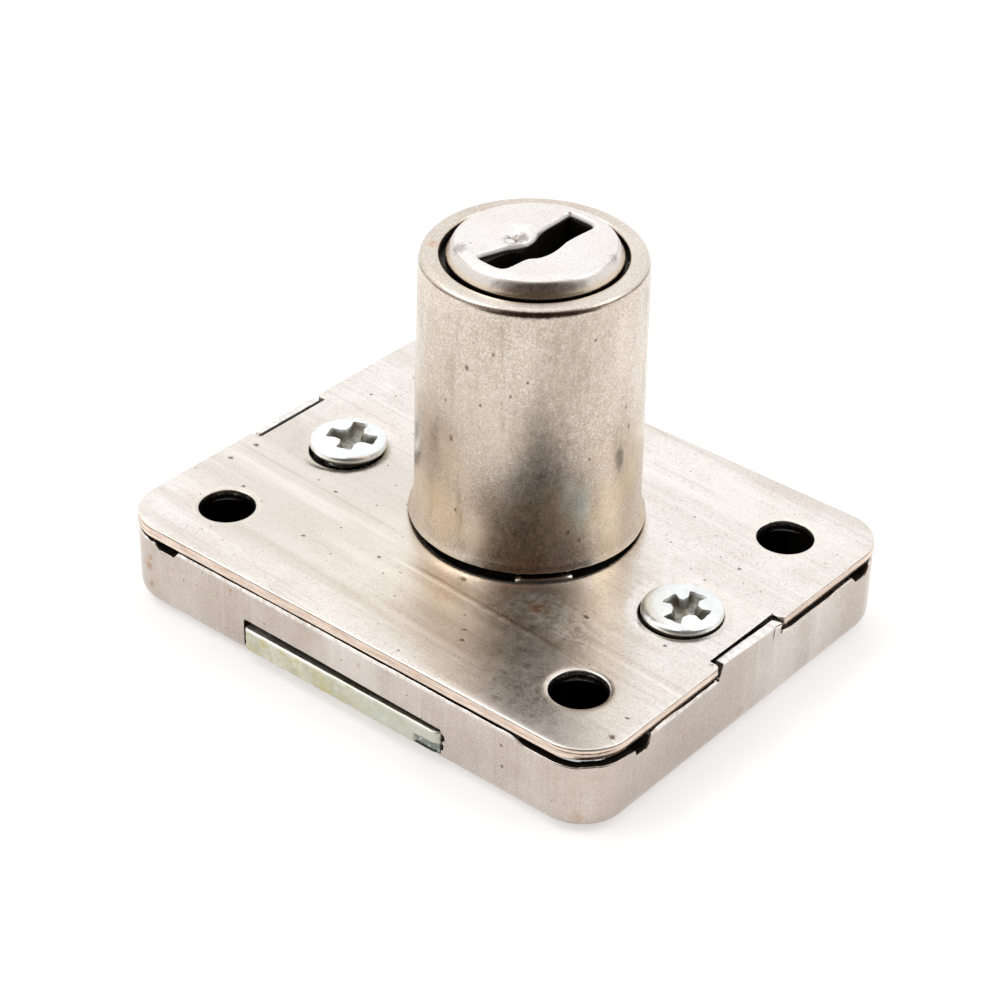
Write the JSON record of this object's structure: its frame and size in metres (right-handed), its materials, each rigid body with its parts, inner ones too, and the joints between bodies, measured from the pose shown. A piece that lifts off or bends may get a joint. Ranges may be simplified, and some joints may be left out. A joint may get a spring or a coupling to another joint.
{
  "type": "drawer lock",
  "caption": "Surface-mounted drawer deadbolt lock: round keyed barrel on a rectangular plate over a pressed steel case, with a flat bolt that slides out of one long side.",
  "frame": {"origin": "middle of the case's underside, on the plane that it stands on", "axes": "+X along the long side of the plate, -Y the side where the bolt comes out, +Z from the case to the key face"},
  "size_m": [0.0524, 0.0422, 0.0349],
  "materials": {
    "plate_steel": "bright nickel-plated pressed steel, fine brushed lines, small dark pits",
    "case_steel": "nickel-plated pressed steel, semi-bright",
    "sleeve_nickel": "warm nickel plate over a drawn sleeve, bright with light tarnish",
    "cap_nickel": "nickel-plated pressed cap, satin bright",
    "die_cast_zinc": "die-cast zinc, as cast, dull grey",
    "plug_zinc": "die-cast zinc, tumbled",
    "screw_zinc": "bright blue-white zinc plate",
    "bolt_yellow_zinc": "yellow-passivated zinc plate, speckled, pale green-yellow cast",
    "wafer_brass": "stamped brass sheet",
    "spring_steel": "bright spring wire"
  },
  "bodies": {
    "lock_case": {"case_tray": "case_steel", "cover_plate": "plate_steel", "barrel_sleeve": "sleeve_nickel", "cylinder_housing": "die_cast_zinc", "screw_left": "screw_zinc", "screw_right": "screw_zinc"},
    "plug_group": {"plug": "plug_zinc", "plug_cap": "cap_nickel", "plug_clip": "spring_steel", "wafer_spring_1": "spring_steel", "wafer_spring_2": "spring_steel", "wafer_spring_3": "spring_steel", "wafer_spring_4": "spring_steel", "wafer_spring_5": "spring_steel", "wafer_spring_6": "spring_steel"},
    "bolt_body": {"bolt": "bolt_yellow_zinc"},
    "wafer_1_body": {"wafer_1": "wafer_brass"},
    "wafer_2_body": {"wafer_2": "wafer_brass"},
    "wafer_3_body": {"wafer_3": "wafer_brass"},
    "wafer_4_body": {"wafer_4": "wafer_brass"},
    "wafer_5_body": {"wafer_5": "wafer_brass"},
    "wafer_6_body": {"wafer_6": "wafer_brass"}
  },
  "joints": [
    {"name": "plug_turn", "type": "hinge", "parent": "lock_case", "child": "plug_group", "pos_m": [0, 0.00275, 0.0036], "axis": [0, 0, -1], "range_deg": [0, 180]},
    {"name": "bolt_slide", "type": "slide", "parent": "lock_case", "child": "bolt_body", "axis": [0, -1, 0], "range_m": [0, 0.008]},
    {"name": "wafer_1_slide", "type": "slide", "parent": "plug_group", "child": "wafer_1_body", "axis": [0, 1, 0], "range_m": [0, 0.0006], "stiffness_N_per_m": 100, "springref_m": 0.0018, "deforming": ["wafer_spring_1"]},
    {"name": "wafer_2_slide", "type": "slide", "parent": "plug_group", "child": "wafer_2_body", "axis": [0, -1, 0], "range_m": [0, 0.0006], "stiffness_N_per_m": 100, "springref_m": 0.0018, "deforming": ["wafer_spring_2"]},
    {"name": "wafer_3_slide", "type": "slide", "parent": "plug_group", "child": "wafer_3_body", "axis": [0, 1, 0], "range_m": [0, 0.0006], "stiffness_N_per_m": 100, "springref_m": 0.0018, "deforming": ["wafer_spring_3"]},
    {"name": "wafer_4_slide", "type": "slide", "parent": "plug_group", "child": "wafer_4_body", "axis": [0, -1, 0], "range_m": [0, 0.0006], "stiffness_N_per_m": 100, "springref_m": 0.0018, "deforming": ["wafer_spring_4"]},
    {"name": "wafer_5_slide", "type": "slide", "parent": "plug_group", "child": "wafer_5_body", "axis": [0, 1, 0], "range_m": [0, 0.0006], "stiffness_N_per_m": 100, "springref_m": 0.0018, "deforming": ["wafer_spring_5"]},
    {"name": "wafer_6_slide", "type": "slide", "parent": "plug_group", "child": "wafer_6_body", "axis": [0, -1, 0], "range_m": [0, 0.0006], "stiffness_N_per_m": 100, "springref_m": 0.0018, "deforming": ["wafer_spring_6"]}
  ],
  "couplings": [
    {"joint": "plug_turn", "follows": "bolt_slide", "rad_per_m": 392.69}
  ]
}
